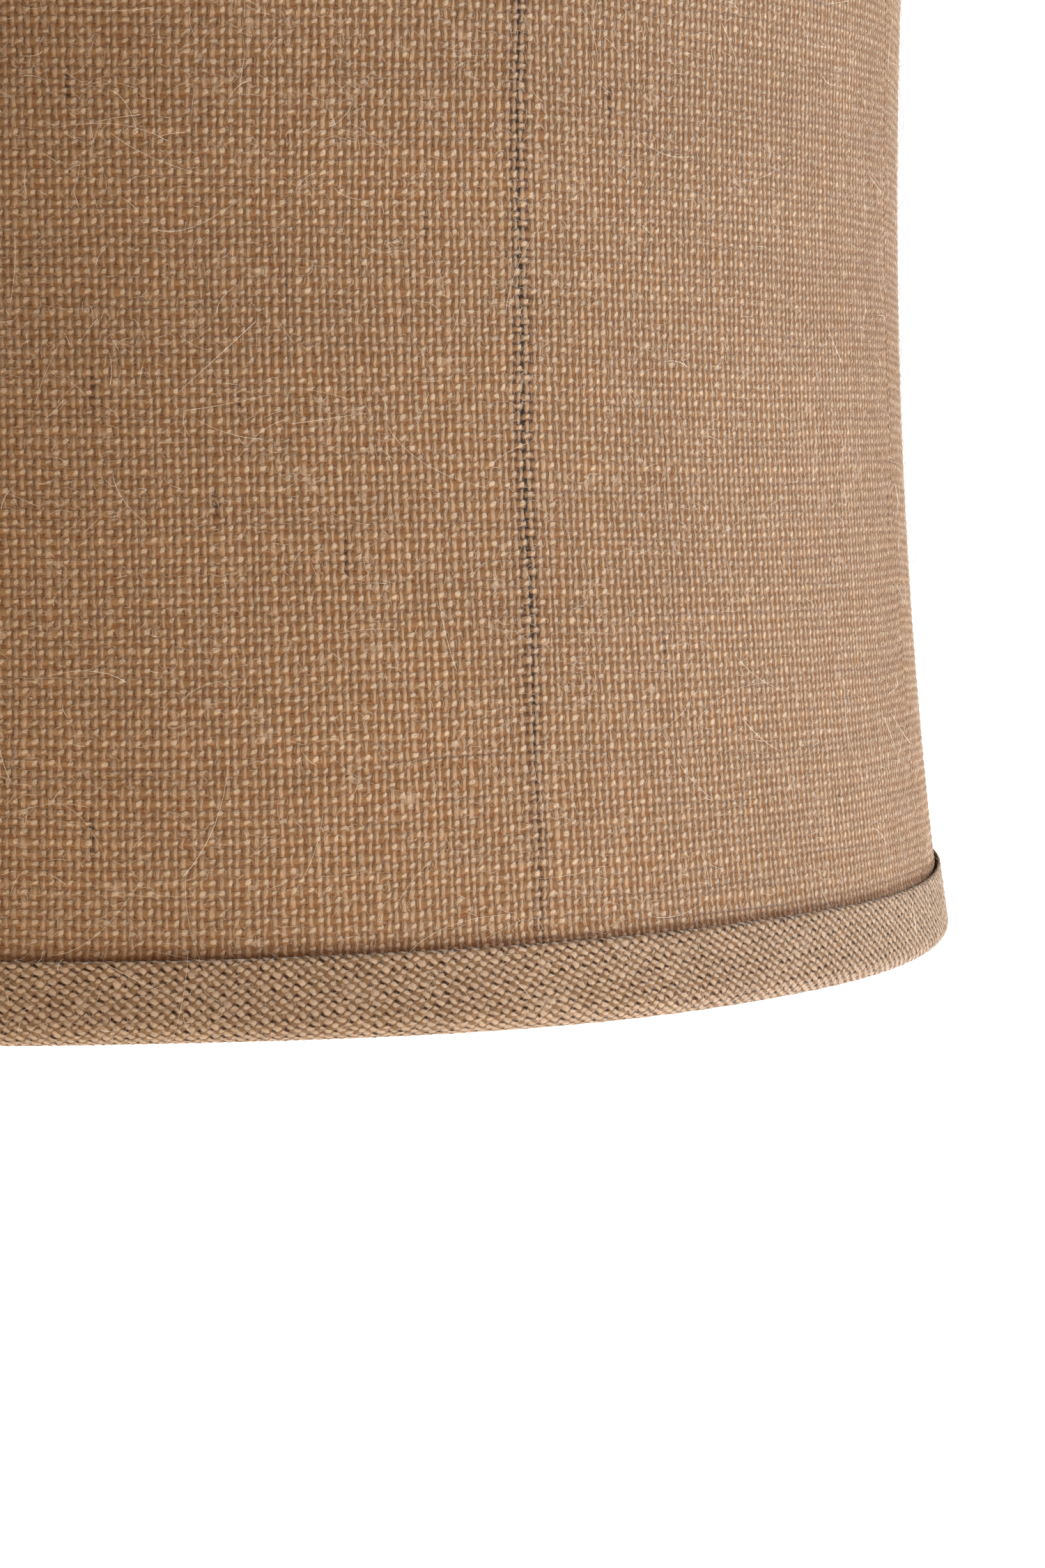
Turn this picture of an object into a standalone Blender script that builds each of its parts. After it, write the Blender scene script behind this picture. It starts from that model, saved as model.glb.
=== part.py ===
"""Softback lamp shade: a wire frame, a woven cover and lining, bias trims and a spider fitter.

Metres, +Z up.  The origin is the centre of the bottom edge, so the shade stands on z = 0.
Angles are measured about +Z from +X.

The outer face of the cover is the master surface.  Its outline is one parabola with its
vertex at the waist, and every other layer is placed by its depth inside that face, measured
square to it.
"""
import math

import bmesh
import bpy

# Overall shape: the outer face of the cover
HEIGHT = 0.305              # lower fold to upper fold
BOTTOM_RADIUS = 0.2017
WAIST_RADIUS = 0.1900
TOP_RADIUS = 0.1936

# Cloth
COVER_THICKNESS = 0.0012
LINING_THICKNESS = 0.0006
TRIM_THICKNESS = 0.0016     # a bias strip with both its edges turned in
TRIM_OUTER_HEIGHT = 0.019   # visible leaf, outside the cover
TRIM_INNER_HEIGHT = 0.015   # leaf turned inside, against the lining
TRIM_FOLD_RADIUS = 0.003    # outer radius of both corners of the fold
FOLD_ALLOWANCE = 0.0006     # room for turned-in cloth between the ring and the fold
PANEL_COUNT = 4             # gores of the cover, and of the lining
SEAM_RIB = 1                # the first seam lies this many ribs past the first rib

# Frame
WIRE_DIAMETER = 0.003
RIB_COUNT = 8
RIB_START = math.radians(22.5)

# Spider fitter
ARM_COUNT = 3
ARM_START = math.radians(90)
ARM_BEND_OUTER = 0.070      # the arm leaves the ring's level at this radius
ARM_BEND_INNER = 0.022      # and reaches the washer's level at this one
WASHER_DROP = 0.0254        # upper fold to the washer's upper face
WASHER_RADIUS = 0.0125
WASHER_HOLE_RADIUS = 0.00555
WASHER_THICKNESS = 0.0032

# Fits
CLEARANCE = 0.0003          # between any two neighbours

# Resolution: the turned pieces share one angular grid, with the ribs and arms on its corners
STEPS_ROUND = 48
STEPS_WASHER = 24
STATIONS = 15               # heights at which the outline is sampled
FOLD_STEPS = 3
ARM_POINTS = 9
WIRE_SIDES = 8

# Worked out from the sizes above
WIRE_RADIUS = WIRE_DIAMETER / 2
WIRE_DEPTH = COVER_THICKNESS + CLEARANCE + WIRE_RADIUS
LINING_DEPTH = WIRE_DEPTH + WIRE_RADIUS + CLEARANCE
INNER_LEAF_DEPTH = LINING_DEPTH + LINING_THICKNESS + CLEARANCE
INNER_FACE_DEPTH = INNER_LEAF_DEPTH + TRIM_THICKNESS
RING_INSET = TRIM_THICKNESS + FOLD_ALLOWANCE + WIRE_RADIUS
RING_REACH = RING_INSET + WIRE_RADIUS + CLEARANCE
CLOTH_INSET = TRIM_FOLD_RADIUS + CLEARANCE
RIB_ANGLE = 2 * math.pi / RIB_COUNT
PANEL_ANGLE = 2 * math.pi / PANEL_COUNT

# The parabola through both end radii whose lowest value is the waist radius
BOTTOM_FLARE = math.sqrt(BOTTOM_RADIUS - WAIST_RADIUS)
TOP_FLARE = math.sqrt(TOP_RADIUS - WAIST_RADIUS)
BOW = ((BOTTOM_FLARE + TOP_FLARE) / HEIGHT) ** 2
WAIST_HEIGHT = HEIGHT * BOTTOM_FLARE / (BOTTOM_FLARE + TOP_FLARE)


# ---------------------------------------------------------------- geometry helpers
def layer_radius(z, depth):
    """Radius, at height z, of the surface that lies the given depth inside the cover's face."""
    slope = 2 * BOW * (z - WAIST_HEIGHT)
    face = WAIST_RADIUS + BOW * (z - WAIST_HEIGHT) ** 2
    return face - depth * math.sqrt(1 + slope ** 2)


def spread(first, last, count):
    """Evenly spaced values from first to last, both included."""
    return [first + (last - first) * i / (count - 1) for i in range(count)]


def arc(centre_r, centre_z, radius, start, end, steps):
    """Points (r, z) on an arc between two angles in degrees, both ends included."""
    angles = [math.radians(a) for a in spread(start, end, steps + 1)]
    return [(centre_r + radius * math.cos(a), centre_z + radius * math.sin(a)) for a in angles]


def layer_outline(z_top, z_bottom, depth):
    """A layer's profile, from its top edge down."""
    return [(layer_radius(z, depth), z) for z in spread(z_top, z_bottom, STATIONS)]


# ---------------------------------------------------------------- scene helpers
def collection(name):
    """A new collection linked to the scene."""
    made = bpy.data.collections.new(name)
    bpy.context.scene.collection.children.link(made)
    return made


def material(name, colour, roughness, metallic=0.0):
    """A Principled material with a linear colour."""
    made = bpy.data.materials.new(name)
    made.use_nodes = True
    shader = made.node_tree.nodes["Principled BSDF"]
    shader.inputs["Base Color"].default_value = (*colour, 1.0)
    shader.inputs["Roughness"].default_value = roughness
    shader.inputs["Metallic"].default_value = metallic
    made.diffuse_color = (*colour, 1.0)
    return made


def place(obj, name, look, group, angle=0.0):
    """Names an object, gives it its look and collection, and turns it about the axis."""
    for old in obj.users_collection:
        old.objects.unlink(obj)
    group.objects.link(obj)
    obj.name = name
    obj.rotation_euler = (0.0, 0.0, angle)
    if look is not None:
        obj.data.materials.clear()
        obj.data.materials.append(look)
    return obj


def profile_mesh(name, points, closed):
    """A mesh of edges in the XZ plane through the points (r, z)."""
    bm = bmesh.new()
    verts = [bm.verts.new((r, 0.0, z)) for r, z in points]
    for low, high in zip(verts, verts[1:]):
        bm.edges.new((low, high))
    if closed:
        bm.edges.new((verts[-1], verts[0]))
    mesh = bpy.data.meshes.new(name)
    bm.to_mesh(mesh)
    bm.free()
    return mesh


def turn(obj, angle, steps):
    """Sweeps the object's profile about +Z."""
    screw = obj.modifiers.new("Turn", "SCREW")
    screw.axis = "Z"
    screw.angle = angle
    screw.steps = steps
    screw.render_steps = steps
    screw.use_merge_vertices = True
    screw.merge_threshold = 0.00001
    screw.use_smooth_shade = True
    return screw


def turned_ring(name, outline, steps, look, group):
    """A full turn of a closed outline."""
    obj = bpy.data.objects.new(name, profile_mesh(name, outline, closed=True))
    turn(obj, 2 * math.pi, steps)
    return place(obj, name, look, group)


def wire(name, points):
    """Curve data for a round wire through points (x, z) in the XZ plane."""
    data = bpy.data.curves.new(name, "CURVE")
    data.dimensions = "3D"
    data.bevel_depth = WIRE_RADIUS
    data.bevel_resolution = WIRE_SIDES // 4
    data.use_fill_caps = True
    spline = data.splines.new("POLY")
    spline.points.add(len(points) - 1)
    for point, (x, z) in zip(spline.points, points):
        point.co = (x, 0.0, z, 1.0)
    return data


# ---------------------------------------------------------------- the frame
def frame_ring(name, height, look, group):
    """A round wire ring that the ribs are welded to."""
    bpy.ops.mesh.primitive_torus_add(
        major_segments=STEPS_ROUND,
        minor_segments=WIRE_SIDES,
        major_radius=layer_radius(height, WIRE_DEPTH),
        minor_radius=WIRE_RADIUS,
    )
    obj = bpy.context.object
    obj.location.z = height
    obj.data.shade_smooth()
    return place(obj, name, look, group)


def ribs(look, group):
    """Upright wires that follow the waisted outline from ring to ring."""
    heights = spread(RING_REACH, HEIGHT - RING_REACH, STATIONS)
    data = wire("rib", [(layer_radius(z, WIRE_DEPTH), z) for z in heights])
    for index in range(RIB_COUNT):
        angle = RIB_START + index * RIB_ANGLE
        place(bpy.data.objects.new("rib", data), f"rib_{index + 1}", look, group, angle)


def arm_route():
    """Points (x, z) of a spider arm: level at the ring, an S bend, level at the washer."""
    ring_z = HEIGHT - RING_INSET
    washer_z = HEIGHT - WASHER_DROP - WASHER_THICKNESS / 2
    points = [(layer_radius(ring_z, WIRE_DEPTH) - WIRE_RADIUS - CLEARANCE, ring_z)]
    for t in spread(0.0, 1.0, ARM_POINTS):
        x = ARM_BEND_OUTER + (ARM_BEND_INNER - ARM_BEND_OUTER) * t
        blend = t * t * (3 - 2 * t)
        points.append((x, ring_z + (washer_z - ring_z) * blend))
    points.append((WASHER_RADIUS + CLEARANCE, washer_z))
    return points


def spider(look, group):
    """Three arms and the washer that sits on the lamp's harp."""
    data = wire("spider_arm", arm_route())
    for index in range(ARM_COUNT):
        angle = ARM_START + index * 2 * math.pi / ARM_COUNT
        arm = bpy.data.objects.new("spider_arm", data)
        place(arm, f"spider_arm_{index + 1}", look, group, angle)
    upper = HEIGHT - WASHER_DROP
    lower = upper - WASHER_THICKNESS
    outline = [
        (WASHER_RADIUS, upper),
        (WASHER_RADIUS, lower),
        (WASHER_HOLE_RADIUS, lower),
        (WASHER_HOLE_RADIUS, upper),
    ]
    washer = turned_ring("fitter_washer", outline, STEPS_WASHER, look, group)
    washer.modifiers["Turn"].use_smooth_shade = False


# ---------------------------------------------------------------- the cloth
def gores(name, z_top, z_bottom, depth, thickness, look, group):
    """Panels that meet on the ribs, with a seam's clearance between each two.

    A panel's end faces stand square to its last facet, so their inner edges lean together by
    the thickness times the sine of half a facet's turn.
    """
    lean = thickness * math.sin(math.pi / STEPS_ROUND)
    seam = (CLEARANCE + 2 * lean) / layer_radius(WAIST_HEIGHT, depth + thickness)
    mesh = profile_mesh(name, layer_outline(z_top, z_bottom, depth), closed=False)
    for index in range(PANEL_COUNT):
        obj = bpy.data.objects.new(name, mesh)
        turn(obj, PANEL_ANGLE - seam, STEPS_ROUND // PANEL_COUNT)
        shell = obj.modifiers.new("Thickness", "SOLIDIFY")
        shell.thickness = thickness
        shell.offset = -1.0
        shell.use_even_offset = True
        angle = RIB_START + SEAM_RIB * RIB_ANGLE + index * PANEL_ANGLE + seam / 2
        place(obj, f"{name}_{index + 1}", look, group, angle)


def trim_outline(edge, inward):
    """Section of a trim folded over a ring, as (r, z) points.

    edge is the height of the fold's outer face and inward is +1 or -1, the way from there
    to the cloth.  The outline runs down the outer side.
    """
    def leaf(depth, heights):
        return [(layer_radius(edge + inward * h, depth), edge + inward * h) for h in heights]

    def corner(depth, side, radius):
        level = edge + inward * TRIM_FOLD_RADIUS
        centre = layer_radius(level, depth) - side * radius
        start = 0 if side > 0 else 180
        return arc(centre, level, radius, start, start - side * inward * 90, FOLD_STEPS)

    outside = -(CLEARANCE + TRIM_THICKNESS)
    bore = TRIM_FOLD_RADIUS - TRIM_THICKNESS
    halfway = (TRIM_FOLD_RADIUS + TRIM_OUTER_HEIGHT) / 2
    points = leaf(outside, [TRIM_OUTER_HEIGHT, halfway])
    points += corner(outside, 1, TRIM_FOLD_RADIUS)
    points += reversed(corner(INNER_FACE_DEPTH, -1, TRIM_FOLD_RADIUS))
    points += leaf(INNER_FACE_DEPTH, [TRIM_INNER_HEIGHT])
    points += leaf(INNER_LEAF_DEPTH, [TRIM_INNER_HEIGHT])
    points += corner(INNER_LEAF_DEPTH, -1, bore)
    points += reversed(corner(-CLEARANCE, 1, bore))
    points += leaf(-CLEARANCE, [halfway, TRIM_OUTER_HEIGHT])
    return points if inward > 0 else points[::-1]


def arm_notches(target, group):
    """Slits in the upper trim's inner leaf, one for each spider arm."""
    top = HEIGHT - RING_INSET + WIRE_RADIUS + CLEARANCE
    bottom = HEIGHT - TRIM_INNER_HEIGHT - TRIM_THICKNESS
    outer = layer_radius(top, WIRE_DEPTH)
    inner = layer_radius(top, INNER_FACE_DEPTH + TRIM_THICKNESS)
    for index in range(ARM_COUNT):
        angle = ARM_START + index * 2 * math.pi / ARM_COUNT
        bpy.ops.mesh.primitive_cube_add(size=1.0)
        cutter = bpy.context.object
        middle = ((outer + inner) / 2, 0.0, (top + bottom) / 2)
        size = (outer - inner, WIRE_DIAMETER + 2 * CLEARANCE, top - bottom)
        for vert in cutter.data.vertices:
            vert.co = [m + s * c for m, s, c in zip(middle, size, vert.co)]
        place(cutter, f"arm_notch_{index + 1}", None, group, angle)
        cutter.hide_render = True
        cutter.display_type = "WIRE"
        cut = target.modifiers.new(f"Arm notch {index + 1}", "BOOLEAN")
        cut.operation = "DIFFERENCE"
        cut.solver = "EXACT"
        cut.object = cutter


# ---------------------------------------------------------------- assembly
def build():
    """Clears the scene and makes every piece."""
    for obj in list(bpy.data.objects):
        bpy.data.objects.remove(obj, do_unlink=True)
    shade = collection("lamp_shade")
    cutters = collection("cutters")

    steel = material("frame_steel", (0.030, 0.024, 0.020), 0.45, metallic=1.0)
    zinc = material("fitter_steel", (0.36, 0.33, 0.28), 0.35, metallic=1.0)
    burlap = material("cover_burlap", (0.42, 0.31, 0.20), 0.9)
    cotton = material("lining_cotton", (0.66, 0.59, 0.47), 0.85)
    bias = material("trim_burlap", (0.36, 0.28, 0.19), 0.9)

    frame_ring("bottom_ring", RING_INSET, steel, shade)
    frame_ring("top_ring", HEIGHT - RING_INSET, steel, shade)
    ribs(steel, shade)
    spider(zinc, shade)

    gores("cover_panel", HEIGHT - CLOTH_INSET, CLOTH_INSET, 0.0, COVER_THICKNESS, burlap, shade)
    lining_top = HEIGHT - RING_REACH - CLEARANCE
    gores("lining_panel", lining_top, CLOTH_INSET, LINING_DEPTH, LINING_THICKNESS, cotton, shade)

    turned_ring("bottom_trim", trim_outline(0.0, 1), STEPS_ROUND, bias, shade)
    top_trim = turned_ring("top_trim", trim_outline(HEIGHT, -1), STEPS_ROUND, bias, shade)
    arm_notches(top_trim, cutters)


build()
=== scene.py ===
# %% [markdown]
# # A burlap lamp shade
#
# The object is a softback lamp shade: a light wire frame with open-weave burlap stretched round
# it, a cotton lining inside the ribs, and a strip of the same burlap, cut on the bias, folded
# over each ring.  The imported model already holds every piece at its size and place.  This
# script gives each piece its looks.  The cloth pieces are shaped again here, and some sizes
# differ from the model's: on one side the trims' outer leaves are up to 3.4 mm taller, which
# LEAF_MORE = 0 would undo, the trims lie 0.1 mm closer to the cover (TRIM_GAP), their folds are
# rounder (UNDER_ROUND, BORE_ROUND), and the cover's ends are 2 mm short (HEM_LIFT).
#
# Almost all that an eye sees here is cloth, so most of the work goes into one question: how
# does a woven cloth look, yarn by yarn?

# %% Load the frame
import math

import bpy
import numpy as np
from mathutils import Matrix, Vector


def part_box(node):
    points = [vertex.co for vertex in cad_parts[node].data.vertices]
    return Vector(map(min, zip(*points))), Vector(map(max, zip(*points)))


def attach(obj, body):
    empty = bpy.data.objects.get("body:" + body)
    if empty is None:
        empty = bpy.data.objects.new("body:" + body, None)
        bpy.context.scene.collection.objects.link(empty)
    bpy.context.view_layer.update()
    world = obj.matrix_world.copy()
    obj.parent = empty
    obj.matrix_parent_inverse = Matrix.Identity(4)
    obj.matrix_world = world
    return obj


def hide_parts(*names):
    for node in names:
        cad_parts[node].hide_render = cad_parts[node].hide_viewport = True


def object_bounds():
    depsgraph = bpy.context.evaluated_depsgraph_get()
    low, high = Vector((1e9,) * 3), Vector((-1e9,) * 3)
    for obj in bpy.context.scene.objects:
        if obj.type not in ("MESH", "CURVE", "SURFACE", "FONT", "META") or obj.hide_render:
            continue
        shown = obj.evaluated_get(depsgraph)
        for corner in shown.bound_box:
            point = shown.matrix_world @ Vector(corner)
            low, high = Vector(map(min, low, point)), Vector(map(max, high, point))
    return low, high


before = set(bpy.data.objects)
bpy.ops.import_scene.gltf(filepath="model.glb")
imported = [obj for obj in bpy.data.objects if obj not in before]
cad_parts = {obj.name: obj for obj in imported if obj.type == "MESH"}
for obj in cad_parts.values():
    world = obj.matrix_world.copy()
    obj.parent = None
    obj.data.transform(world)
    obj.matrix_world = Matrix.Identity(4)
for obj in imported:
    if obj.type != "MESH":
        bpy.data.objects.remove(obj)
cad_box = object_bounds()
print("the object's box:", [[round(x, 4) for x in corner] for corner in cad_box])

# %% [markdown]
# ## Where things are
#
# Everything is placed from the model.  The outer face of the cover is a turned surface whose
# outline is a parabola, so three coefficients describe it.  They are fitted to the corners of
# the cover's own solids.  Half of those corners lie on the inner face, so a first fit runs down
# the middle of the cloth, and a second one takes only the corners outside it.

# %% Read the outline and the angles
def node_points(name):
    """The corners of a model node, as an array of (x, y, z)."""
    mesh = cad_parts[name].data
    points = np.empty(len(mesh.vertices) * 3, np.float32)
    mesh.vertices.foreach_get("co", points)
    return points.reshape(-1, 3).astype(float)


def outer_outline(nodes):
    """Coefficients of the parabola radius(height) through the nodes' outer corners."""
    points = np.vstack([node_points(name) for name in nodes])
    radius = np.hypot(points[:, 0], points[:, 1])
    height = points[:, 2]
    middle = np.polyfit(height, radius, 2)
    outer = radius > np.polyval(middle, height)
    return np.polyfit(height[outer], radius[outer], 2)


def direction(name):
    """The angle about +Z, in radians, at which a node's middle lies."""
    middle = node_points(name).mean(axis=0)
    return math.atan2(middle[1], middle[0])


COVERS = [f"cover_panel_{i}" for i in range(1, 5)]
LININGS = [f"lining_panel_{i}" for i in range(1, 5)]
RIBS = [f"rib_{i}" for i in range(1, 9)]
ARMS = [f"spider_arm_{i}" for i in range(1, 4)]

OUTLINE = outer_outline(COVERS)
HEIGHT = cad_box[1][2]
RIB_ANGLE = 2 * math.pi / len(RIBS)
FIRST_RIB = direction(RIBS[0])
waist = -OUTLINE[1] / (2 * OUTLINE[0])
print(f"waist radius {np.polyval(OUTLINE, waist) * 1000:.1f} mm at {waist * 1000:.0f} mm up")

# %% [markdown]
# ## Surfaces on grids
#
# Each new piece is a grid of points worked out with numpy and handed to Blender whole.  The
# helpers below take care of the parts that every piece shares: a point on the shade from an
# angle, a height and a depth, the faces of a grid, and a mesh with its maps.

# %% Points on the shade
def shade_point(angle, height, out):
    """The point (x, y, z) a distance out from the cover's face, square to it.

    With R the outline and R' its slope, the face's normal in a vertical plane is (1, -R')
    over the root of 1 + R'^2, so radius = R + out / root and z = height - R' out / root.
    """
    slope = np.polyval(np.polyder(OUTLINE), height)
    root = np.sqrt(1 + slope**2)
    radius = np.polyval(OUTLINE, height) + out / root
    lift = height - slope * out / root
    return np.stack(np.broadcast_arrays(radius * np.cos(angle), radius * np.sin(angle), lift), -1)


def grid_quads(rows, cols, wrap_rows=False, wrap_cols=False):
    """Corner numbers of a grid's quads, turned so that rows up and columns left face out."""
    down = np.arange(rows if wrap_rows else rows - 1)[:, None]
    along = np.arange(cols if wrap_cols else cols - 1)[None, :]
    up, left = (down + 1) % rows, (along + 1) % cols
    corners = [down * cols + along, down * cols + left, up * cols + left, up * cols + along]
    return np.stack([np.broadcast_to(c, (len(down), along.size)) for c in corners], -1).reshape(-1, 4)


def make_piece(name, points, polygons, material, maps=(), values=()):
    """A mesh object from points and a list of polygon arrays, each (n, corners).

    maps holds (name, one uv per corner) and values holds (name, one number per point).
    """
    mesh = bpy.data.meshes.new(name)
    points = np.asarray(points, np.float32).reshape(-1, 3)
    corners = np.concatenate([np.asarray(p, np.int32).ravel() for p in polygons])
    sizes = np.concatenate([np.full(len(p), p.shape[1], np.int32) for p in polygons])
    mesh.vertices.add(len(points))
    mesh.vertices.foreach_set("co", points.ravel())
    mesh.loops.add(len(corners))
    mesh.loops.foreach_set("vertex_index", corners)
    mesh.polygons.add(len(sizes))
    mesh.polygons.foreach_set("loop_start", np.concatenate([[0], np.cumsum(sizes)[:-1]]).astype(np.int32))
    for map_name, coordinates in maps:
        layer = mesh.uv_layers.new(name=map_name)
        layer.data.foreach_set("uv", np.asarray(coordinates, np.float32).ravel())
    for value_name, numbers in values:
        layer = mesh.attributes.new(value_name, "FLOAT", "POINT")
        layer.data.foreach_set("value", np.asarray(numbers, np.float32).ravel())
    mesh.update(calc_edges=True)
    mesh.validate()
    mesh.shade_smooth()
    piece = bpy.data.objects.new(name, mesh)
    bpy.context.scene.collection.objects.link(piece)
    piece.data.materials.append(material)
    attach(piece, "root")
    triangles = int((sizes - 2).sum())
    print(f"{name}: {len(points)} points, {triangles} triangles")
    return piece


# %% [markdown]
# ## Shader nodes in few words
#
# A material here is a small formula over the cloth.  Written node by node it would be long, so
# this little class adds a node, sets its inputs and hands back its output in one call.  An input
# is either a plain value or another node's output.

# %% A short way to write node trees
class Tree:
    """Adds nodes to a node tree and joins them."""

    def __init__(self, tree):
        self.tree = tree

    def add(self, kind, inputs=(), **settings):
        """A node of a kind, with settings on it and (socket, value or output) inputs."""
        made = self.tree.nodes.new(kind)
        for name, value in settings.items():
            setattr(made, name, value)
        for socket, value in dict(inputs).items():
            if isinstance(value, bpy.types.NodeSocket):
                self.tree.links.new(value, made.inputs[socket])
            else:
                made.inputs[socket].default_value = value
        return made

    def math(self, operation, *values):
        """One Math node's output."""
        return self.add("ShaderNodeMath", enumerate(values), operation=operation).outputs[0]

    def vector(self, operation, *values):
        """One Vector Math node's vector."""
        return self.add("ShaderNodeVectorMath", enumerate(values), operation=operation).outputs[0]

    def ramp(self, value, low, high):
        """0 below low, 1 above high, smooth between."""
        inputs = {"Value": value, "From Min": low, "From Max": high}
        made = self.add("ShaderNodeMapRange", inputs, interpolation_type="SMOOTHSTEP")
        return made.outputs["Result"]

    def mix(self, factor, first, second):
        """Two numbers mixed."""
        made = self.add("ShaderNodeMix", {0: factor, 2: first, 3: second}, data_type="FLOAT")
        return made.outputs[0]

    def blend(self, factor, first, second, blend_type="MIX"):
        """Two colours mixed."""
        inputs = {0: factor, 6: first, 7: second}
        return self.add("ShaderNodeMix", inputs, data_type="RGBA", blend_type=blend_type).outputs[2]

    def point(self, x, y, z=0.0):
        """A vector from three numbers."""
        return self.add("ShaderNodeCombineXYZ", {0: x, 1: y, 2: z}).outputs[0]

    def noise(self, vector, scale, detail=2.0, roughness=0.5):
        """A noise value from 0 to 1."""
        inputs = {"Vector": vector, "Scale": scale, "Detail": detail, "Roughness": roughness}
        return self.add("ShaderNodeTexNoise", inputs).outputs["Fac"]

    def speckle(self, number):
        """A random value for a whole number, the same each time."""
        made = self.add("ShaderNodeTexWhiteNoise", {"W": number}, noise_dimensions="1D")
        return made.outputs["Value"]


def new_group(name, inputs, outputs):
    """A shader node group with float or vector inputs and float outputs.

    Returns the group, its Tree, its input sockets by name, and the node its outputs go to.
    """
    group = bpy.data.node_groups.new(name, "ShaderNodeTree")
    for socket, kind, value in inputs:
        made = group.interface.new_socket(name=socket, in_out="INPUT", socket_type=kind)
        if kind == "NodeSocketFloat":
            made.default_value = value
    for socket in outputs:
        group.interface.new_socket(name=socket, in_out="OUTPUT", socket_type="NodeSocketFloat")
    given = group.nodes.new("NodeGroupInput")
    wanted = group.nodes.new("NodeGroupOutput")
    return group, Tree(group), given.outputs, wanted


SHEEN_ROUGHNESS = 0.3
SHEEN_TINT = (1.0, 0.94, 0.85, 1.0)


def new_material(name, roughness, metallic=0.0, sheen=0.0):
    """A material with a Principled shader.  Returns it, its Tree and the shader."""
    material = bpy.data.materials.new(name)
    material.use_nodes = True
    shader = material.node_tree.nodes["Principled BSDF"]
    shader.inputs["Roughness"].default_value = roughness
    shader.inputs["Metallic"].default_value = metallic
    shader.inputs["Sheen Weight"].default_value = sheen
    shader.inputs["Sheen Roughness"].default_value = SHEEN_ROUGHNESS
    shader.inputs["Sheen Tint"].default_value = SHEEN_TINT
    return material, Tree(material.node_tree), shader


# %% [markdown]
# ## Plain weave as a formula
#
# In a plain weave each warp yarn runs over one weft and under the next, and its neighbours do
# the opposite.  Count the yarns instead of millimetres: U grows by one from warp to warp and V
# from weft to weft.  Then the whole numbers say which yarns cross at a place, the fractions say
# where on them it is, and the sum of the whole numbers, odd or even, says which yarn is on top.
#
# A picture of cloth could not do this, and one bump texture would repeat.  The formula gives
# each yarn its own thickness and tone, and it holds at any angle of the cloth, so the same group
# serves the straight cover, the bias trim and the fine lining.

# %% The weave group
YARN_ROUND = 0.30           # a yarn's crown over its own edges, in yarn spacings
YARN_RISE = 0.20            # how far a yarn climbs over its neighbour
HOLE_DEPTH = 0.35           # how far below the yarns' edges a hole's floor lies
KNUCKLE_HIGHLIGHT_SHIFT = 0.13        # the painted highlights on the wefts' tops sit this far to one side
KNUCKLE_TILT = 0.34         # and rise this much on the way
KNUCKLE_LONG = 0.42         # half a knuckle's length, and its half height over the weft's width
DASH_LONG = 0.72            # half the length of a warp's pale top, partly a painted highlight
DASH_WIDE = 0.50            # and its half width over the warp's width
SLUB = 2.6                  # how strongly a yarn swells and thins along its way
YARN_TWIST = 0.30           # the fibres' slope across a yarn
FIBRES = 11.0               # fine streaks across one yarn


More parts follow.
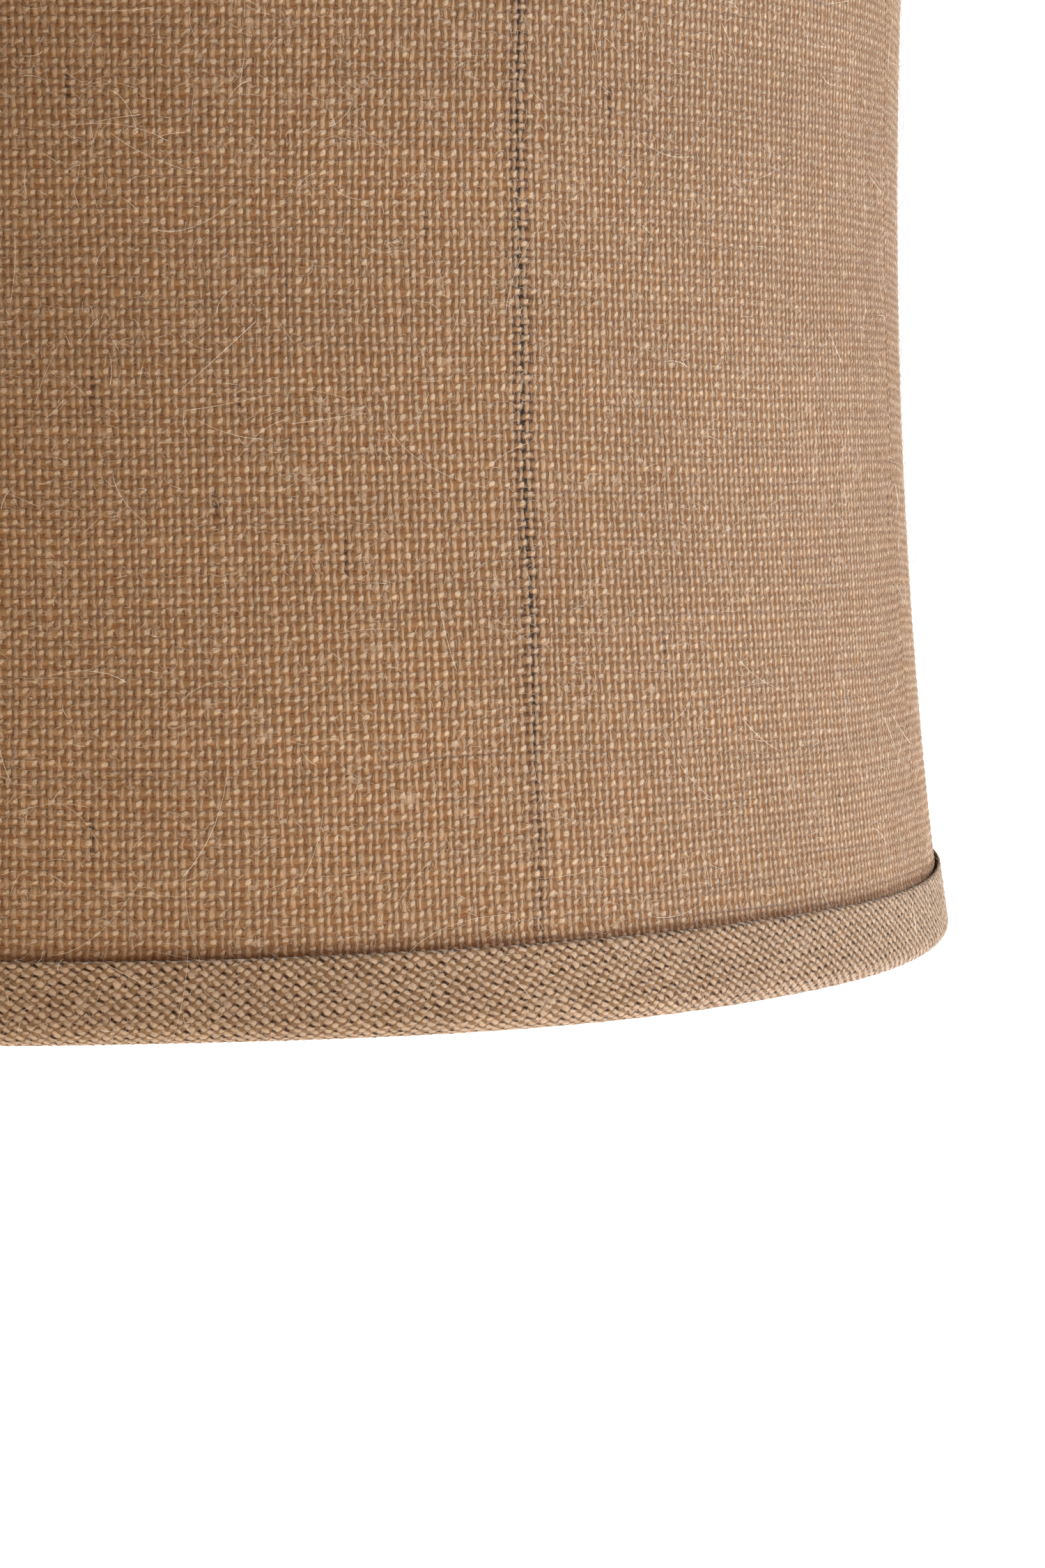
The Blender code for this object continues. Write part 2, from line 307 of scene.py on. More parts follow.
def build_weave():
    """Heights, masks, tones and streaks of a plain weave, worked out from yarn counts.

    Height: a yarn's section is a half ellipse, sqrt(1 - (offset / half width)^2), and its
    middle rises and falls along its length as the cosine of half a turn per crossing.  The
    higher yarn of the two is the one that shows.
    Top: an ellipse near the middle of each float, stretched along the yarn and set towards one
    side; the pale colour put on it is partly the jute's own and partly a painted highlight.
    Slit: the narrow gap at the right end of each weft float, where it dives; its dark colour
    is a painted shadow.
    Thin: stretches of a gap between two warps that are opener than the rest, which the burlap
    paints near-black as shade seen through the holes.
    """
    group, t, given, wanted = new_group(
        "plain_weave",
        [
            ("Yarns", "NodeSocketVector", None),
            ("Warp width", "NodeSocketFloat", 0.8),
            ("Weft width", "NodeSocketFloat", 0.8),
            ("Warp shine", "NodeSocketFloat", 0.8),
            ("Slit width", "NodeSocketFloat", 0.16),
            ("Unevenness", "NodeSocketFloat", 0.3),
        ],
        ["Height", "Top", "Slit", "Thin", "Tone", "Fibre"],
    )
    yarns, unevenness = given["Yarns"], given["Unevenness"]
    shift = t.add("ShaderNodeTexNoise", {"Vector": yarns, "Scale": 0.8, "Detail": 1.0}).outputs["Color"]
    shift = t.vector("SUBTRACT", shift, (0.5, 0.5, 0.5))
    shift = t.add("ShaderNodeVectorMath", {0: shift, "Scale": unevenness}, operation="SCALE").outputs[0]
    moved = t.vector("ADD", yarns, shift)
    split = t.add("ShaderNodeSeparateXYZ", {0: moved})
    across, along = split.outputs[0], split.outputs[1]
    warp, weft = t.math("FLOOR", across), t.math("FLOOR", along)
    du = t.math("SUBTRACT", t.math("SUBTRACT", across, warp), 0.5)
    dv = t.math("SUBTRACT", t.math("SUBTRACT", along, weft), 0.5)
    parity = t.math("FLOORED_MODULO", t.math("ADD", warp, weft), 2.0)
    sign = t.math("MULTIPLY_ADD", parity, 2.0, -1.0)

    def swell(number, run, seed):
        """Thick and thin places along one yarn: a factor near 1."""
        place = t.point(t.math("MULTIPLY", number, 7.31), t.math("MULTIPLY", run, 0.31), seed)
        slub = t.math("SUBTRACT", t.noise(place, 1.0, 2.0), 0.5)
        return t.math("MULTIPLY_ADD", t.math("MULTIPLY", slub, unevenness), SLUB, 1.0)

    def body(offset, width, rise):
        """A yarn's height at an offset from its middle, or far below beside it."""
        ratio = t.math("DIVIDE", offset, t.math("MULTIPLY", width, 0.5))
        inside = t.math("SUBTRACT", 1.0, t.math("MULTIPLY", ratio, ratio))
        crown = t.math("SQRT", t.math("MAXIMUM", inside, 0.0))
        low = t.math("LESS_THAN", inside, 0.0)
        return t.math("SUBTRACT", t.math("MULTIPLY_ADD", crown, YARN_ROUND, rise), low)

    def ellipse(x, y, wide, high):
        """(x / wide)^2 + (y / high)^2."""
        x, y = t.math("DIVIDE", x, wide), t.math("DIVIDE", y, high)
        return t.math("ADD", t.math("MULTIPLY", x, x), t.math("MULTIPLY", y, y))

    warp_wide = t.math("MULTIPLY", given["Warp width"], swell(warp, along, 3.7))
    weft_wide = t.math("MULTIPLY", given["Weft width"], swell(weft, across, 11.9))
    warp_wave = t.math("MULTIPLY", t.math("COSINE", t.math("MULTIPLY", dv, math.pi)), sign)
    weft_wave = t.math("MULTIPLY", t.math("COSINE", t.math("MULTIPLY", du, math.pi)), sign)
    warp_height = body(du, warp_wide, t.math("MULTIPLY", warp_wave, YARN_RISE))
    weft_height = body(dv, weft_wide, t.math("MULTIPLY", weft_wave, -YARN_RISE))
    top = t.math("GREATER_THAN", warp_height, weft_height)
    height = t.math("ADD", t.math("MAXIMUM", warp_height, weft_height), HOLE_DEPTH)
    height = t.math("DIVIDE", height, YARN_ROUND + YARN_RISE + HOLE_DEPTH)
    height = t.math("MAXIMUM", height, 0.0)

    from_weft = t.math("SUBTRACT", du, t.math("MULTIPLY", parity, t.math("SIGN", du)))
    other = t.math("SUBTRACT", 1.0, parity)
    from_warp = t.math("SUBTRACT", dv, t.math("MULTIPLY", other, t.math("SIGN", dv)))
    # The floats' pale tops, set to one side of their middles, are partly a painted highlight.
    leaning = t.math("SUBTRACT", dv, t.math("MULTIPLY", from_weft, KNUCKLE_TILT))
    thick = t.math("MULTIPLY", weft_wide, KNUCKLE_LONG)
    knuckle = ellipse(t.math("SUBTRACT", from_weft, KNUCKLE_HIGHLIGHT_SHIFT), leaning, KNUCKLE_LONG, thick)
    beside = t.math("SUBTRACT", du, 0.04)
    dash = ellipse(beside, from_warp, t.math("MULTIPLY", warp_wide, DASH_WIDE), DASH_LONG)
    knuckle = t.ramp(knuckle, 1.15, 0.25)
    dash = t.math("MULTIPLY", t.ramp(dash, 1.2, 0.2), given["Warp shine"])
    crowns = t.mix(top, knuckle, dash)
    # The slit beside each knuckle, which the burlap paints dark as shadow.
    side = t.math("ABSOLUTE", t.math("SUBTRACT", from_weft, 0.50))
    side = t.ramp(side, given["Slit width"], t.math("MULTIPLY", given["Slit width"], 0.3))
    ends = t.ramp(t.math("ABSOLUTE", t.math("ADD", dv, 0.05)), 0.50, 0.32)
    slit = t.math("MULTIPLY", side, ends)

    warp_tone = t.speckle(t.math("MULTIPLY_ADD", warp, 1.37, 0.5))
    weft_tone = t.speckle(t.math("MULTIPLY_ADD", weft, 2.11, 77.7))
    own = t.mix(top, weft_tone, warp_tone)
    squeezed_u = t.math("MULTIPLY", across, t.mix(top, 0.45, 1.0))
    squeezed_v = t.math("MULTIPLY", along, t.mix(top, 1.0, 0.45))
    run = t.point(squeezed_u, squeezed_v, t.math("MULTIPLY", top, 9.0))
    tone = t.mix(0.72, own, t.noise(run, 0.9, 2.0))

    warp_twist = t.math("MULTIPLY", t.math("MULTIPLY_ADD", along, YARN_TWIST, across), FIBRES)
    weft_twist = t.math("MULTIPLY", t.math("MULTIPLY_ADD", across, -YARN_TWIST, along), FIBRES)
    warp_streak = t.noise(t.point(warp_twist, t.math("MULTIPLY", along, 2.0)), 1.0, 2.0, 0.6)
    weft_streak = t.noise(t.point(t.math("MULTIPLY", across, 2.0), weft_twist, 5.0), 1.0, 2.0, 0.6)
    fibre = t.mix(top, weft_streak, warp_streak)

    gap = t.math("FLOOR", t.math("ADD", across, 0.5))
    place = t.point(t.math("MULTIPLY", gap, 5.17), t.math("MULTIPLY", along, 0.07), 31.0)
    thin = t.math("MULTIPLY", t.ramp(t.noise(place, 1.0, 1.0), 0.70, 0.78), 0.85)

    results = {"Height": height, "Top": crowns, "Slit": slit, "Thin": thin}
    for socket, value in {**results, "Tone": tone, "Fibre": fibre}.items():
        group.links.new(value, wanted.inputs[socket])
    return group


weave = build_weave()
print("weave group with", len(weave.nodes), "nodes")


# %% [markdown]
# Jute sheds fine hairs, which lie over the yarns in every direction.  Far too many to model
# one by one, the finest are drawn as the lines where a noise crosses its own middle value: such
# lines are thin, curly and never end in a grid.  A second, slower noise breaks them up.

# %% The stray hairs group
STRAY_LAYERS = [            # scale, shift and stretch of each layer of hairs
    (0.85, 3.1, (1.0, 0.55, 1.0)),
    (0.60, 41.7, (0.5, 1.0, 1.0)),
    (1.3, 17.3, (1.0, 1.0, 1.0)),
]
HAIR_EDGE = 0.020           # |noise - 0.5| where a hair ends
HAIR_CORE = 0.004           # and where it is at full strength


def build_strays():
    """A mask of thin curly lines: layers of |noise - 0.5| under a small limit."""
    group, t, given, wanted = new_group(
        "stray_hairs",
        [
            ("Yarns", "NodeSocketVector", None),
            ("Amount", "NodeSocketFloat", 0.5),
        ],
        ["Hairs"],
    )
    layers = []
    for scale, shift, stretch in STRAY_LAYERS:
        place = t.vector("MULTIPLY", given["Yarns"], stretch)
        place = t.vector("ADD", place, (shift, shift, shift))
        line = t.math("ABSOLUTE", t.math("SUBTRACT", t.noise(place, scale, 0.6), 0.5))
        line = t.ramp(line, HAIR_EDGE, HAIR_CORE)
        broken = t.ramp(t.noise(place, scale * 0.7, 1.0), 0.58, 0.44)
        layers.append(t.math("MULTIPLY", line, broken))
    hairs = t.math("MAXIMUM", t.math("MAXIMUM", layers[0], layers[1]), layers[2])
    hairs = t.math("MULTIPLY", hairs, given["Amount"])
    group.links.new(hairs, wanted.inputs["Hairs"])
    return group


stray_hairs = build_strays()

# %% [markdown]
# ## Burlap
#
# Jute is a pale straw colour where light strikes the fibres and a warm brown where it passes
# through them.  Here that light and shade is painted into the colour, which runs from brown in
# the holes, over tan on a yarn's flanks, to straw on the floats: the brown holes and tan flanks
# are painted shade, and the straw floats are partly the jute's own colour and partly a painted
# highlight, set to one side of each float.  It is darkest in the slits beside the wefts'
# knuckles, a painted shadow.  Each yarn has a tone of its own, fine streaks run along it, and
# broad clouds of lighter and darker cloth lie over the whole.  Where a rib stands behind the
# cover its dark wire shows in the holes, and the piece carries that as a value of its own.
# Where two warps part, the holes take the wire's dark colour too, as painted shade.

# %% The burlap material
BURLAP_SHEEN = 0.36
BURLAP_GLOSS = 0.12
WIRE_AND_SHADE_COLOUR = (0.024, 0.013, 0.008, 1.0)    # of a varnished rib seen through the holes, and the painted shade in holes where two warps part
TRIM_SHADOW_COLOUR = (0.50, 0.33, 0.21, 1.0)       # painted shadow: multiplies the cover's colour beside a trim
TRIM_SHADOW_DEPTH = 0.65
STREAKS = 1.3               # strength of the fine streaks along the yarns
TONES = 0.55                # spread of the yarns' own tones
CLOUDS = 0.30               # spread of the broad lighter and darker places


def burlap(name, colours, weaving, bump, slit_depth, hair_amount):
    """A woven jute material.

    colours holds slit, hole, flank and float, and weaving the weave group's own inputs.  The
    slit, hole and flank colours are painted shade, and the float colour is partly the jute's own
    and partly a painted highlight.  bump is the relief in metres, slit_depth how dark the slits'
    painted shadow is, and hair_amount how clearly the stray hairs show.
    """
    slit_shadow_colour, hole, flank, crown = colours
    material, t, shader = new_material(name, 0.9, sheen=BURLAP_SHEEN)
    shader.inputs["Specular IOR Level"].default_value = BURLAP_GLOSS
    yarns = t.add("ShaderNodeUVMap", uv_map="yarns").outputs[0]
    made = t.add("ShaderNodeGroup", node_tree=weave)
    t.tree.links.new(yarns, made.inputs["Yarns"])
    for socket, value in weaving.items():
        made.inputs[socket].default_value = value
    height, fibre, tone = made.outputs["Height"], made.outputs["Fibre"], made.outputs["Tone"]
    hairs = t.add("ShaderNodeGroup", node_tree=stray_hairs)
    t.tree.links.new(yarns, hairs.inputs["Yarns"])
    hairs.inputs["Amount"].default_value = hair_amount
    hairs = hairs.outputs["Hairs"]

    coat = t.add("ShaderNodeTexCoord").outputs["Object"]
    clouds = t.noise(coat, 14.0, 3.0)
    # Over a rib the holes show its real dark wire; where two warps part they are painted the same dark
    # colour as shade.
    behind = t.add("ShaderNodeAttribute", attribute_name="behind").outputs["Fac"]
    behind = t.math("MAXIMUM", behind, made.outputs["Thin"])
    streak = t.math("MULTIPLY", t.math("SUBTRACT", fibre, 0.5), STREAKS)
    # Colour by height: the floats' straw is partly a painted highlight, and the tan flanks and brown holes
    # are painted shade.
    floats = t.ramp(t.math("MULTIPLY_ADD", streak, 0.8, made.outputs["Top"]), 0.15, 1.0)
    level = t.math("MULTIPLY_ADD", behind, -0.30, t.math("MULTIPLY_ADD", streak, 0.5, height))
    body = t.ramp(level, 0.14, 0.55)
    colour = t.blend(body, t.blend(behind, hole, WIRE_AND_SHADE_COLOUR), flank)
    colour = t.blend(floats, colour, crown)
    lighter = t.math("MULTIPLY_ADD", t.math("SUBTRACT", tone, 0.5), TONES, 1.0)
    cloudy = t.math("MULTIPLY_ADD", t.math("SUBTRACT", clouds, 0.5), CLOUDS, 1.0)
    shade = t.math("MULTIPLY", lighter, cloudy)
    colour = t.blend(1.0, colour, t.point(shade, shade, shade), "MULTIPLY")
    # Painted shadow in the slits beside the knuckles.
    slit = t.math("MULTIPLY", made.outputs["Slit"], slit_depth)
    slit = t.math("MULTIPLY", slit, t.ramp(t.noise(coat, 620.0, 1.0), 0.30, 0.55))
    colour = t.blend(slit, colour, t.blend(behind, slit_shadow_colour, WIRE_AND_SHADE_COLOUR))
    colour = t.blend(hairs, colour, crown)
    # The trims' painted shadow: the cover is browner beside a trim.
    trim_shadow = t.add("ShaderNodeAttribute", attribute_name="trim_shadow").outputs["Fac"]
    trim_shadow = t.math("MULTIPLY", trim_shadow, TRIM_SHADOW_DEPTH)
    colour = t.blend(trim_shadow, colour, TRIM_SHADOW_COLOUR, "MULTIPLY")
    t.tree.links.new(colour, shader.inputs["Base Color"])

    relief = t.math("MULTIPLY_ADD", fibre, 0.25, height)
    relief = t.math("MULTIPLY_ADD", hairs, 0.22, relief)
    relief = t.math("SUBTRACT", relief, t.math("MULTIPLY", slit, 0.25))
    raised = t.add("ShaderNodeBump", {"Height": relief, "Distance": bump, "Strength": 1.0})
    t.tree.links.new(raised.outputs[0], shader.inputs["Normal"])
    return material


cover_cloth = burlap(
    "cover_burlap",
    colours=[
        (0.075, 0.027, 0.009, 1),
        (0.180, 0.072, 0.024, 1),
        (0.238, 0.120, 0.051, 1),
        (0.398, 0.273, 0.171, 1),
    ],
    weaving={
        "Warp width": 0.56,
        "Weft width": 0.66,
        "Warp shine": 0.55,
        "Slit width": 0.17,
        "Unevenness": 0.45,
    },
    bump=0.0013,
    slit_depth=0.68,
    hair_amount=0.55,
)
trim_cloth = burlap(
    "trim_burlap",
    colours=[
        (0.026, 0.010, 0.004, 1),
        (0.105, 0.047, 0.019, 1),
        (0.152, 0.079, 0.035, 1),
        (0.328, 0.222, 0.138, 1),
    ],
    weaving={
        "Warp width": 0.76,
        "Weft width": 1.00,
        "Warp shine": 0.90,
        "Slit width": 0.25,
        "Unevenness": 0.60,
    },
    bump=0.0007,
    slit_depth=1.0,
    hair_amount=0.50,
)
print("materials:", cover_cloth.name, trim_cloth.name)

# %% [markdown]
# ## The cover
#
# The cover is four gores, sewn on the ribs and pulled tight, so it can't be simulated as a
# falling cloth: its shape is set by the frame.  What makes it look woven is relief and
# irregularity.  Two grid points per yarn, one on the yarn and one between two yarns, are
# enough for real hills at the crossings and real hollows at the holes.  The yarns then wander:
# each by itself a little, and all together more slowly, as cloth does when it is stretched by
# hand.  Between two ribs the wefts sag and the cloth lies a touch nearer the axis.

# %% Noise that wanders
def blur(count, width):
    """A square matrix that averages neighbours with Gaussian weights."""
    apart = np.subtract.outer(np.arange(count), np.arange(count)) / max(width, 1e-3)
    weights = np.exp(-0.5 * apart**2)
    return weights / weights.sum(axis=1, keepdims=True)


def drift(rng, rows, cols, row_blur, col_blur):
    """Random values that change over row_blur rows and col_blur columns, with a spread of 1."""
    field = blur(rows, row_blur) @ rng.standard_normal((rows, cols)) @ blur(cols, col_blur).T
    return field / field.std()


def between(values, axis):
    """From one value per yarn to values on yarns and between them: 2n + 1 along the axis."""
    values = np.moveaxis(values, axis, -1)
    padded = np.concatenate([values[..., :1], values, values[..., -1:]], -1)
    out = np.empty(values.shape[:-1] + (2 * values.shape[-1] + 1,))
    out[..., 1::2] = values
    out[..., 0::2] = (padded[..., 1:] + padded[..., :-1]) / 2
    return np.moveaxis(out, -1, axis)


def relief(u, v):
    """+1 at each crossing's middle, 0 midway on a yarn and -1 in each hole: the mean of
    minus cos(2 pi u) and minus cos(2 pi v)."""
    return -(np.cos(2 * np.pi * u) + np.cos(2 * np.pi * v)) / 2


def from_rib(angle):
    """0 on a rib and 1 halfway to the next, from an angle."""
    turn = np.mod(angle - FIRST_RIB, RIB_ANGLE) / RIB_ANGLE
    return 1 - np.abs(2 * turn - 1)


# %% [markdown]
# A sheet needs an underside.  It is hidden between the cover and the lining, so it has one grid
# point for every four on the face, and a fan of triangles closes each border.

# %% Close a sheet with a coarse back
COARSE = 4


def close_sheet(face, back):
    """Points and polygons of a closed sheet: the face's quads, the back's and the border fans.

    face is (rows, cols, 3) and back has every COARSE-th row and column of it.  A border fan
    joins COARSE fine steps to one coarse step: the first half of the fine points to the
    coarse step's start, the rest to its end.
    """
    rows, cols = face.shape[:2]
    back_rows, back_cols = back.shape[:2]
    start = rows * cols
    fine = np.arange(start).reshape(rows, cols)
    rough = start + np.arange(back_rows * back_cols).reshape(back_rows, back_cols)
    quads = grid_quads(rows, cols)
    under = grid_quads(back_rows, back_cols)[:, ::-1] + start
    fans = []
    borders = [
        (fine[0, :], rough[0, :], False),
        (fine[-1, :], rough[-1, :], True),
        (fine[:, 0], rough[:, 0], True),
        (fine[:, -1], rough[:, -1], False),
    ]
    half = COARSE // 2
    for edge, coarse, flip in borders:
        first, last = coarse[:-1], coarse[1:]
        for step in range(COARSE):
            a, b = edge[step:-1:COARSE][: len(first)], edge[step + 1 :: COARSE][: len(first)]
            fans.append(np.stack([b, a, first if step < half else last], -1))
            if flip:
                fans[-1] = fans[-1][:, ::-1]
        middle = np.stack([edge[half::COARSE][: len(first)], first, last], -1)
        fans.append(middle[:, ::-1] if flip else middle)
    fans = np.concatenate(fans)
    points = np.concatenate([face.reshape(-1, 3), back.reshape(-1, 3)])
    return points, quads, under, fans


# %% [markdown]
# Beside a trim the cover lies in the trim's shadow, painted into its colour as a browner band,
# so the trims' edges come first.  Their strips were folded by hand, and on one side the outer
# leaf is a little taller than the model's, which has the same height all round.

# %% Where the trims' edges lie
OUTER_LEAF = 0.0190         # height of a trim's outer leaf where it is lowest
LEAF_MORE = 0.0034          # and how much more it has where it is tallest
TALL_SIDE = 0.0             # the angle of that place
TALL_SHARP = 33             # how quickly the extra fades round the shade


def leaf_height(angle):
    """The outer leaf's height: lowest + more * ((1 + cos(angle - side)) / 2) ^ sharpness."""
    return OUTER_LEAF + LEAF_MORE * ((1 + np.cos(angle - TALL_SIDE)) / 2) ** TALL_SHARP


# %% Build the four cover panels
WARPS = 160                 # yarns across one panel
WEFTS = 136                 # yarns up one panel
CREST = 0.00020             # how far a crossing stands out of the cloth's face
SAG = 0.0008                # of a weft, halfway between two ribs
SLACK = 0.0006              # how far the cloth lies in, halfway between two ribs
CLOTH = 0.0010              # thickness
HEM_LIFT = 0.0020           # the cover ends this far inside its solid's own ends
SWAY_ALL, SWAY_OWN = 0.20, 0.11     # warps' wander in yarns, all together and each by itself
LIFT_ALL, LIFT_OWN = 0.13, 0.10     # and the wefts'
CALM_SIDES, CALM_ENDS = 3, 8        # yarns over which the wander dies out towards the edges
SEAM_WIDTH = 1.5            # yarns on each side that sink towards a seam
SEAM_DEPTH = 0.0003
RIB_SHADE = 0.0021          # half width of the dark line that a rib makes in the holes
TRIM_SHADOW_WIDTH = 0.0016         # how far a trim's painted shadow reaches
FACE_SHARE = 0.936          # of the baked sheet's height, for the face
BACK_SHARE = 0.050          # and for the back, above it


def cover_panel(index, name):
    """One gore of the cover: points on the shade's face, moved by relief, sag and wander.

    angle = start + turn * (u + wander) / WARPS, height = bottom + span * (v + wander) / WEFTS,
    and out = relief - slack - seam.  behind is 1 on the rib in the panel's middle, and the value
    for the trims' painted shadow is 1 at a trim's edge.
    """
    rng = np.random.default_rng(40 + index)
    low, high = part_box(name)
    bottom, top = low[2] + HEM_LIFT, high[2] - HEM_LIFT
    turn = 2 * math.pi / len(COVERS)
    start = direction(name) - turn / 2
    u = np.arange(2 * WARPS + 1)[None, :] / 2
    v = np.arange(2 * WEFTS + 1)[:, None] / 2
    rows, cols = v.size, u.size
    edge_u = np.clip(np.minimum(u, WARPS - u) / CALM_SIDES, 0, 1)
    edge_v = np.clip(np.minimum(v, WEFTS - v) / CALM_ENDS, 0, 1)
    sway = drift(rng, rows, cols, 30, 18) * SWAY_ALL
    sway = sway + between(drift(rng, rows, WARPS, 9, 0.4), 1) * SWAY_OWN
    lift = drift(rng, rows, cols, 18, 30) * LIFT_ALL
    lift = lift + between(drift(rng, WEFTS, cols, 0.4, 9), 0) * LIFT_OWN
    angle = start + turn * (u + sway * edge_u * edge_v) / WARPS
    bay = 1 - (1 - from_rib(angle)) ** 2
    height = bottom + (top - bottom) * (v + lift * edge_v) / WEFTS - SAG * bay * edge_v
    bulk = between(between(drift(rng, WEFTS, WARPS, 0.4, 0.4), 0), 1)
    out = CREST * (relief(u, v) - 0.35) * (1 + 0.25 * bulk)
    out = out - SLACK * bay * np.sin(np.pi * v / WEFTS) ** 0.5
    out = out - SEAM_DEPTH * np.clip(1 - np.minimum(u, WARPS - u) / SEAM_WIDTH, 0, 1) ** 1.5
    face = shade_point(angle, height, out)
    coarse = (slice(None, None, COARSE), slice(None, None, COARSE))
    back = shade_point(angle[coarse], height[coarse], -CLOTH)

    points, quads, under, fans = close_sheet(face, back)
    counts = np.stack(np.broadcast_arrays(u, v), -1)
    yarns = np.concatenate([counts.reshape(-1, 2), counts[coarse].reshape(-1, 2)])
    unit = yarns / [WARPS, WEFTS]
    shown = unit * [0.996, FACE_SHARE] + [0.002, 0.002]
    hidden = unit * [0.996, BACK_SHARE] + [0.002, 0.945]

    def corners(front, rear):
        """One uv per corner: front's on the face and the borders, rear's on the back."""
        parts = [front[quads], rear[under], front[fans]]
        return np.concatenate([part.reshape(-1, 2) for part in parts])

    near = np.abs(u / WARPS - 0.5) * turn * np.polyval(OUTLINE, height)
    behind = np.exp(-((near / RIB_SHADE) ** 2)) * (1.25 + 0.22 * drift(rng, rows, cols, 16, 3))
    behind = np.clip(behind, 0, 1)
    values = np.concatenate([behind.ravel(), behind[coarse].ravel()])
    # The trims' painted shadow on the cover, strongest at a trim's edge.
    inset = np.minimum(height, HEIGHT - height) - leaf_height(angle) - 0.0005
    trim_shadow = np.exp(-(np.maximum(inset, 0) / TRIM_SHADOW_WIDTH) ** 2)
    trim_shadow = np.concatenate([trim_shadow.ravel(), trim_shadow[coarse].ravel()])
    piece = make_piece(
        f"woven_{name}",
        points,
        [quads, under, fans],
        cover_cloth,
        maps=[("yarns", corners(yarns, yarns)), ("OFBake", corners(shown, hidden))],
        values=[("behind", values), ("trim_shadow", trim_shadow)],
    )
    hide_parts(name)
    return piece


covers = [cover_panel(i, name) for i, name in enumerate(COVERS)]
print(len(covers), "cover panels of", WARPS, "by", WEFTS, "yarns")

# %% [markdown]
# ## The bias trims
#
# A strip cut on the bias, at an angle to both yarns, stretches round a curve without puckers.
# That is why both edges of a shade are bound with one.  Its yarns cross the band in slanting
# rows, flatter than 45 degrees one way because the strip was pulled lengthwise.
#
# The strip's section is one closed line: over the folded upper edge, down the outside, round
# under the ring, up the inside, and back between the layers.  Carrying that line round the
# shade gives the whole piece.  Where it closes, the strip's end lies over its beginning.

# %% The section of a trim
TRIM = 0.0016               # thickness of the strip with its edges turned in
TRIM_GAP = 0.0002           # between strip and cover, where the model has 0.3 mm
INNER_LEAF = 0.0150
UNDER_ROUND = 0.0050        # the round where the strip turns under, outside
BORE_ROUND = 0.0030         # and where it comes up again, inside
INNER_DEPTH = 0.0073        # from the cover's face to the strip's inner face


def face_radius(height, out):
    """Radius of the layer that lies a distance out from the cover's face."""
    slope = np.polyval(np.polyder(OUTLINE), height)
    return np.polyval(OUTLINE, height) + out * np.sqrt(1 + slope**2)


def rounding(centre, radius, first, last, steps):
    """Points on an arc from one angle to another, in degrees, without its last point."""
    angle = np.radians(np.linspace(first, last, steps, endpoint=False))
    return np.stack([centre[0] + radius * np.cos(angle), centre[1] + radius * np.sin(angle)], -1)


def straight(out, first, last, steps, level):
    """Points on a layer between two insets from the fold, without the last one."""
    inset = np.linspace(first, last, steps, endpoint=False)
    return np.stack([face_radius(level(inset), out), inset], -1)


def trim_section(level):
    """Runs of points (radius, inset from the fold), which join to the closed section.

    They start at the outer leaf's edge and go round outside, below and inside, and back
    between the layers.  level turns an inset into a height on the shade.
    """
    outside, inside = TRIM_GAP + TRIM, TRIM_GAP
    cap = TRIM / 2
    bore = UNDER_ROUND - TRIM
    edge = (face_radius(level(OUTER_LEAF), (outside + inside) / 2), OUTER_LEAF - cap)
    under = (face_radius(level(UNDER_ROUND), outside) - UNDER_ROUND, UNDER_ROUND)
    inner = (face_radius(level(BORE_ROUND), -INNER_DEPTH) + BORE_ROUND, BORE_ROUND)
    lip = (face_radius(level(INNER_LEAF), -INNER_DEPTH + cap), INNER_LEAF - cap)
    flat = np.array([[under[0], 0.0], [(under[0] + inner[0]) / 2, 0.0]])
    return [
        rounding(edge, cap, 180, 0, 4),
        straight(outside, OUTER_LEAF - cap, UNDER_ROUND, 18, level),
        rounding(under, UNDER_ROUND, 0, -90, 10),
        flat,
        rounding(inner, BORE_ROUND, -90, -180, 4),
        straight(-INNER_DEPTH, BORE_ROUND, INNER_LEAF - cap, 9, level),
        rounding(lip, cap, 180, 0, 3),
        straight(-INNER_DEPTH + TRIM, INNER_LEAF - cap, BORE_ROUND, 3, level),
        rounding(inner, BORE_ROUND - TRIM, 180, 270, 2),
        rounding(under, bore, -90, 0, 3),
        straight(inside, UNDER_ROUND, OUTER_LEAF - cap, 3, level),
    ]


# %% Carry the section round the shade
TRIM_COLUMNS = 1600
LEAF_RUNS = [0, 1, 10]      # the section's runs on the outer leaf
SHOWN_RUNS = range(6)       # and those that show their weave
TRIM_CREST = CREST * 1.1
RIPPLE = 0.00018            # unevenness of a hand-pressed fold
TRIM_PITCH = 0.00178        # from yarn to yarn, square to them
RISING = math.radians(33)   # the angle of one set of yarns to the strip's length
FALLING = math.radians(-46)
LAP = 0.014                 # length of the overlap
LAP_STEP = 0.0007
LAP_ANGLE = math.radians(106)
BELOW_FOLD = 0.0004         # how far the weave may stand out under the fold
YARNS_AHEAD = 2000          # keeps every count positive


